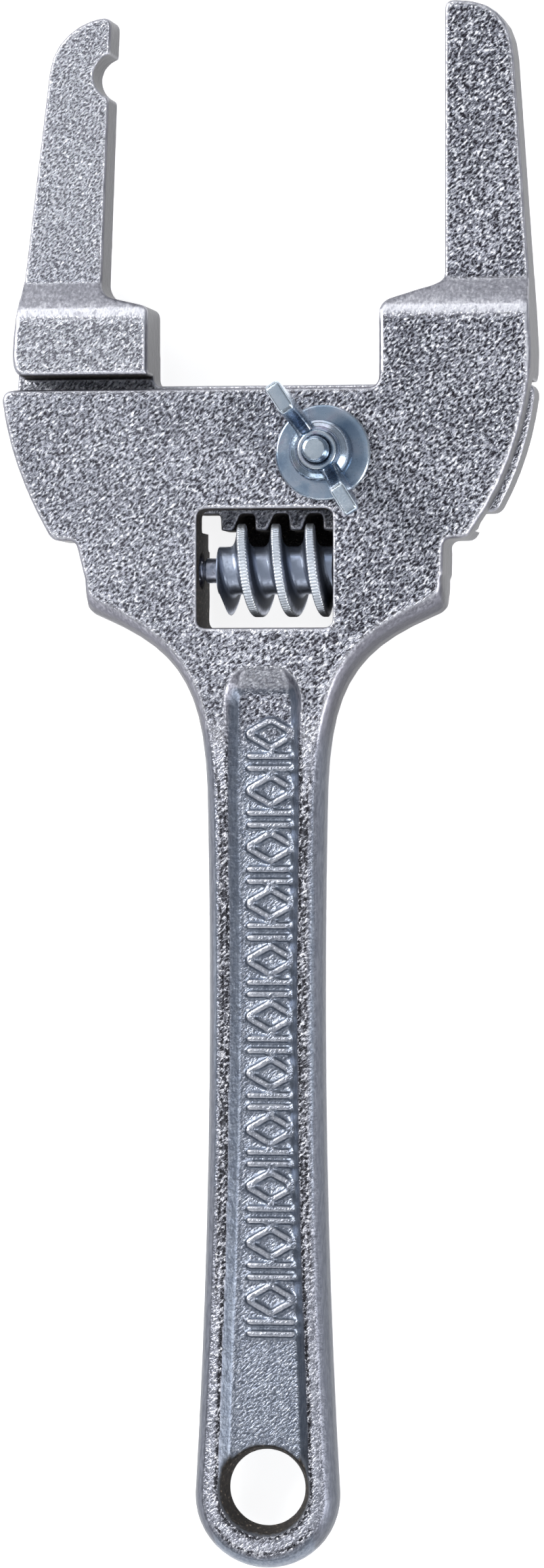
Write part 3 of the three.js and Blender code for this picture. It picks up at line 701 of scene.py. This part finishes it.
def worm():
    """One grid of points carries the thread, its knurled crest, the hub and the bore."""
    columns = KNURL_TICKS * 5
    angle = around(columns)
    x = np.linspace(WORM_LEFT, WORM_RIGHT, 216)[:, None]
    away = from_thread_crest(x, angle, WORM_PITCH, WORM_CREST_X)
    reach, height = np.array(THREAD_PROFILE).T * MM
    radius = np.interp(np.abs(away), reach, height)
    hub = WORM_CORE_RADIUS
    # The thread is cut away steeply at both ends, and the hub's own edges are rounded.
    radius = np.minimum(radius, hub + np.maximum(x - WORM_LEFT - 0.2 * MM, 0) / 0.45)
    radius = np.minimum(radius, hub + np.maximum(WORM_RIGHT - 0.3 * MM - x, 0) / 0.25)
    edge = np.minimum(x - WORM_LEFT, WORM_RIGHT - x)
    radius = np.minimum(radius, hub - 0.7 * MM + 2.2 * np.sqrt(np.maximum(edge, 0) * 0.5 * MM) + edge * 40)
    crest = smoothstep(WORM_CREST_RADIUS - 0.7 * MM, WORM_CREST_RADIUS - 0.15 * MM, radius)
    ticks = 0.5 - 0.5 * np.cos(KNURL_TICKS * (angle + 0.02 * away / MM))
    radius = radius - KNURL_DEPTH * crest * ticks**2
    outer = about_x(x, radius, angle)
    bore = about_x(np.array([[WORM_RIGHT], [WORM_LEFT]]), WORM_BORE_RADIUS, angle)
    mesh = grid_mesh("worm_steel", np.concatenate([outer, bore]), ring=True, sharp_degrees=55)
    low = smoothstep(WORM_CORE_RADIUS + 0.1 * MM, WORM_CORE_RADIUS + 1.0 * MM, radius)
    inner = np.zeros((2, columns))
    store(mesh, "crest", np.concatenate([crest, inner]).ravel())
    store(mesh, "root", np.concatenate([1 - low, inner]).ravel())
    land = smoothstep(WORM_CREST_RADIUS - 1.6 * MM, WORM_CREST_RADIUS - 0.6 * MM, radius)
    store(mesh, "land", np.concatenate([land, inner]).ravel())
    return new_object("worm_turned", mesh)


PIN_PROFILE = [
    (-22, 2.5),
    (-21.6, 2.9),
    (-14.6, 2.9),
    (-14.3, 1.75),
    (-11.95, 1.75),
    (-11.6, 2.3),
    (20.9, 2.3),
    (21.5, 1.7),
]
PIN_THREAD_PITCH = 0.8 * MM
PIN_THREAD_DEPTH = 0.22 * MM
PIN_THREAD_END = -12.1 * MM
PIN_SLOT_DEPTH = 1.1 * MM


def worm_pin():
    """Stepped pin: threaded plug with a driver slot, threaded thin neck, plain axle."""
    angle = around(120)
    along, height = np.array(PIN_PROFILE).T * MM
    x = np.linspace(along[0], along[-1], 560)[:, None]
    radius = np.interp(x, along, height) + 0 * angle
    away = from_thread_crest(x, angle, PIN_THREAD_PITCH, 0)
    groove = PIN_THREAD_DEPTH * smoothstep(0.1 * MM, 0.36 * MM, np.abs(away))
    radius = radius - groove * (1 - smoothstep(PIN_THREAD_END - 0.3 * MM, PIN_THREAD_END, x))
    shank = about_x(x, radius, angle)
    disc = np.linspace(0.1 * MM, height[0] - 0.2 * MM, 24)[:, None]
    slot = smoothstep(0.62 * MM, 0.5 * MM, np.abs(disc * np.sin(angle)))
    end_face = about_x(along[0] + PIN_SLOT_DEPTH * slot, disc, angle)
    mesh = grid_mesh("worm_pin_steel", np.concatenate([end_face, shank]), sharp_degrees=50)
    flat = np.zeros(len(mesh.vertices))
    store(mesh, "crest", flat)
    store(mesh, "root", flat + 1)
    store(mesh, "land", flat + 1)
    return new_object("worm_pin_turned", mesh)


# ---- clamp ----

BOLT_PROFILE = [
    (0.4, 0.6),
    (0.5, 2.6),
    (1.0, 4.2),
    (1.7, 4.75),
    (2.9, 4.8),
    (2.95, 2.45),
    (5.6, 2.45),
    (5.65, 2.4),
    (25.1, 2.4),
    (25.7, 1.95),
    (25.8, 1.75),
]
BOLT_THREAD_DEPTH = 0.42 * MM


def clamp_bolt():
    """Domed head, square neck and a threaded shank, as one grid of points."""
    angle = around(112)
    height, reach = np.array(BOLT_PROFILE).T * MM
    z = np.unique(np.concatenate([np.linspace(height[0], height[-1], 300), height]))[:, None]
    radius = np.interp(z, height, reach) + 0 * angle
    square = reach[6] / np.maximum(np.abs(np.cos(angle)), np.abs(np.sin(angle)))
    neck = (z >= height[5]) & (z <= height[6])
    radius = np.where(neck, square, radius)
    away = from_thread_crest(z, angle, BOLT_PITCH, height[-1])
    groove = BOLT_THREAD_DEPTH * smoothstep(0.06 * MM, 0.46 * MM, np.abs(away))
    radius = np.where(z > height[7], radius - groove * smoothstep(1.6 * MM, 2.0 * MM, radius), radius)
    mesh = grid_mesh("clamp_bolt_zinc", about_z(z, radius, angle))
    co = vertex_array(mesh, "co")
    from_axis = np.hypot(co[:, 0] - NUT_AXIS.x, co[:, 1] - NUT_AXIS.y)
    top = smoothstep(height[-1] - 1.2 * MM, height[-1], co[:, 2])
    # Painted shade on the shank under the nut and in a ring round the end's flat; a painted highlight on the flat.
    store(mesh, "painted_shade", 0.6 * (1 - top) + 0.45 * top * smoothstep(1.8 * MM, 2.3 * MM, from_axis))
    store(mesh, "rim_highlight", 0.5 * top * smoothstep(2.0 * MM, 1.7 * MM, from_axis))
    return new_object("clamp_bolt_turned", mesh)


def turned_ring(name, profile, centre, columns=144):
    """A ring turned about Z; each profile point is (radius, z), going round the section."""
    radius, z = np.array(profile).T * MM
    points = about_z(z[:, None], radius[:, None], around(columns), centre)
    return grid_mesh(name, points, ring=True)


WASHER_SHADE_BEARING = math.radians(10)
HUB_GROOVE_RADIUS = 3.6 * MM


def washer():
    """Stamped plain washer: the upper edge is rolled over by the die, and the lower one is square."""
    low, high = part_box("washer")
    centre = (low + high) / 2
    outer = (high.x - low.x) / 2 / MM
    bottom, top = low.z / MM, high.z / MM
    profile = [(3.05, bottom + 0.1), (3.2, bottom), (outer - 0.15, bottom)]
    profile += [(outer, bottom + 0.12), (outer, top - 0.5)]
    for step in range(1, 7):
        turn = step / 6 * math.pi / 2
        profile.append((outer - 0.5 + 0.5 * math.cos(turn), top - 0.5 + 0.5 * math.sin(turn)))
    profile += [(outer - 0.95, top - 0.09), (outer - 1.3, top - 0.03)]
    profile += [(3.6, top), (3.2, top - 0.06), (3.05, top - 0.25)]
    mesh = turned_ring("washer_zinc", profile, centre)
    co = vertex_array(mesh, "co")
    from_nut = np.hypot(co[:, 0] - NUT_AXIS.x, co[:, 1] - NUT_AXIS.y)
    bearing = np.arctan2(co[:, 1] - NUT_AXIS.y, co[:, 0] - NUT_AXIS.x)
    # Painted shadow and reflection of the nut: dark towards the washer's inner part, mostly on the side that the
    # bearing points to.
    sheltered = 0.2 + 0.8 * smoothstep(0.2, 0.9, np.cos(bearing - WASHER_SHADE_BEARING))
    band = smoothstep(8.6 * MM, 6.9 * MM, from_nut)
    store(mesh, "painted_shade", 0.8 * band * sheltered)
    # Painted highlight on the rolled outer edge.
    edge = outer * MM
    store(mesh, "rim_highlight", 0.5 * smoothstep(edge - 0.7 * MM, edge - 0.3 * MM, from_nut - 0.4 * MM))
    return new_object("washer_stamped", mesh)


def wing_nut_rings():
    """The flange and the sleeve round the hub, each as a list of vertices and a list of faces."""
    base = NUT_AXIS.z / MM
    flange = [(3.4, base + 0.05), (5.5, base + 0.05), (5.75, base + 0.6), (5.6, base + 2.6)]
    flange += [(5.2, base + 3.2), (4.1, base + 3.9), (3.8, base + 3.8), (3.75, base + 3.3), (3.3, base + 3.3)]
    sleeve = [(2.46, base + 0.3), (3.4, base + 0.3), (3.45, base + 4.3)]
    sleeve += [(3.1, base + 4.9), (2.46, base + 5.05)]
    rings = []
    for profile in (flange, sleeve):
        mesh = turned_ring("ring", profile, NUT_AXIS, 72)
        corners = [tuple(v.co) for v in mesh.vertices]
        rings.append((corners, [list(p.vertices) for p in mesh.polygons]))
        bpy.data.meshes.remove(mesh)
    return rings


def wing_nut():
    """The CAD wing nut with forged, softened edges and a turned collar round its hub."""
    obj = new_object("wing_nut_forged", casting_source("wing_nut", wing_nut_rings()))
    mesh = remeshed(obj, NUT_VOXEL, 4)
    near = Neighbours(mesh)
    curve = convexity(mesh, near, NUT_VOXEL, 4)
    co = vertex_array(mesh, "co")
    upward = vertex_array(mesh, "normal")[:, 2]
    height = co[:, 2] - NUT_AXIS.z
    from_axis = np.hypot(co[:, 0] - NUT_AXIS.x, co[:, 1] - NUT_AXIS.y)
    # Painted shade and reflection in dark blue: in hollows, on sides that face sideways or down low on the nut, in
    # the hub's groove and at the wing roots.
    hollow = smoothstep(0.0, -0.06, curve)
    low_side = smoothstep(0.8, 0.3, upward) * smoothstep(11 * MM, 5 * MM, height)
    groove = smoothstep(0.22 * MM, 0.08 * MM, np.abs(from_axis - HUB_GROOVE_RADIUS)) * (height > 3 * MM)
    wing_root = smoothstep(3.9 * MM, 4.6 * MM, from_axis) * smoothstep(8.4 * MM, 6.6 * MM, from_axis)
    wing_root = wing_root * (height > 4.3 * MM)
    painted_shade = 0.75 * hollow + 0.35 * low_side + 0.9 * groove + 0.75 * wing_root
    store(mesh, "painted_shade", np.clip(painted_shade, 0, 1))
    # Painted highlight on convex edges and on the upward faces of the wing tips.
    tip_highlight = smoothstep(8 * MM, 11.5 * MM, height) * smoothstep(0.3, 0.7, upward)
    store(mesh, "rim_highlight", np.maximum(0.7 * smoothstep(0.02, 0.09, curve), 0.4 * tip_highlight))
    return obj


# ---- floor, light and camera ----

VIEW_TILT = math.radians(9)
VIEW_DISTANCE = 1.15
FRAME_MARGIN = 1.0030
AIM_RIGHT_OF_CENTRE = 0.25 * MM
AIM_ABOVE_CENTRE = 0.4 * MM
CEILING_LIGHT = 0.56
WALL_LIGHT = 0.1


def floor():
    size = 3.0
    mesh = bpy.data.meshes.new("floor")
    corners = [(-size, -size), (size, -size), (size, size), (-size, size)]
    z = cad_low.z - 0.2 * MM
    mesh.from_pydata([(x, y, z) for x, y in corners], [], [(0, 1, 2, 3)])
    obj = new_object("floor", mesh)
    mesh.materials.append(floor_material())


def area_light(name, place, aim, width, height, power, colour=(1, 1, 1)):
    light = bpy.data.lights.new(name, "AREA")
    light.shape = "RECTANGLE"
    light.size = width
    light.size_y = height
    light.energy = power
    light.color = colour
    obj = new_object(name, light)
    obj.location = place
    obj.rotation_euler = (Vector(aim) - Vector(place)).to_track_quat("-Z", "Y").to_euler()


def lights():
    """A pale ceiling over darker walls, a soft key from the upper left, and three weaker fills."""
    world = bpy.data.worlds.new("studio")
    world.use_nodes = True
    tree = world.node_tree
    background = tree.nodes["Background"]
    background.inputs["Color"].default_value = (0.88, 0.93, 1.0, 1)
    direction = tree.nodes.new("ShaderNodeTexCoord")
    parts = tree.nodes.new("ShaderNodeSeparateXYZ")
    fade = tree.nodes.new("ShaderNodeMapRange")
    fade.inputs["From Min"].default_value = 0.05
    fade.inputs["To Min"].default_value = WALL_LIGHT
    fade.inputs["To Max"].default_value = CEILING_LIGHT
    tree.links.new(direction.outputs["Generated"], parts.inputs[0])
    tree.links.new(parts.outputs["Z"], fade.inputs["Value"])
    tree.links.new(fade.outputs[0], background.inputs["Strength"])
    bpy.context.scene.world = world
    area_light("key", (-0.75, 0.45, 0.65), (0, 0.02, 0), 0.5, 0.5, 12.0)
    area_light("right", (0.8, -0.35, 0.4), (0, 0, 0), 0.35, 0.8, 5.0)
    area_light("head", (-0.1, 0.95, 0.5), (0, 0.05, 0), 0.8, 0.3, 1.2)
    area_light("foot", (-0.1, -0.9, 0.5), (0, -0.05, 0), 0.8, 0.3, 1.5)


def camera():
    """Over the front face, leaning 9 degrees to the right, with the whole length in the picture."""
    data = bpy.data.cameras.new("camera")
    length = (cad_high.y - cad_low.y) * FRAME_MARGIN
    data.sensor_fit = "AUTO"
    data.sensor_width = 36
    data.lens = data.sensor_width * VIEW_DISTANCE / length
    data.clip_start = 0.01
    data.clip_end = 100
    obj = new_object("camera", data)
    across = Vector((math.cos(VIEW_TILT), 0, -math.sin(VIEW_TILT)))
    back = Vector((math.sin(VIEW_TILT), 0, math.cos(VIEW_TILT)))
    turn = Matrix((across, Vector((0, 1, 0)), back)).transposed()
    middle_y = (cad_low.y + cad_high.y) / 2 + AIM_ABOVE_CENTRE
    middle_x = (cad_low.x + cad_high.x) / 2 + AIM_RIGHT_OF_CENTRE
    target = Vector((middle_x, middle_y, MID_Z))
    obj.matrix_world = Matrix.Translation(target + back * VIEW_DISTANCE) @ turn.to_4x4()
    bpy.context.scene.camera = obj


# ---- assembly ----


def dressed(obj, material, body, node):
    """Gives a piece its material, and lets it stand for its CAD node."""
    obj.data.materials.clear()
    obj.data.materials.append(material)
    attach(obj, body)
    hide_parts(node)


cast = cast_material()
steel = worm_material()
zinc = zinc_material()
wrench = casting("body", "body_casting", VOXEL, BODY_COARSENESS, recess_relief())
dressed(wrench, cast, "body", "body")
jaw = casting("movable_jaw", "movable_jaw_casting", JAW_VOXEL, JAW_COARSENESS)
dressed(jaw, cast, "movable_jaw", "movable_jaw")
dressed(worm(), steel, "worm", "worm")
dressed(worm_pin(), steel, "body", "worm_pin")
dressed(clamp_bolt(), zinc, "body", "clamp_bolt")
dressed(washer(), zinc, "washer", "washer")
dressed(wing_nut(), zinc, "wing_nut", "wing_nut")
floor()
lights()
camera()
bpy.context.scene.view_settings.view_transform = "Standard"
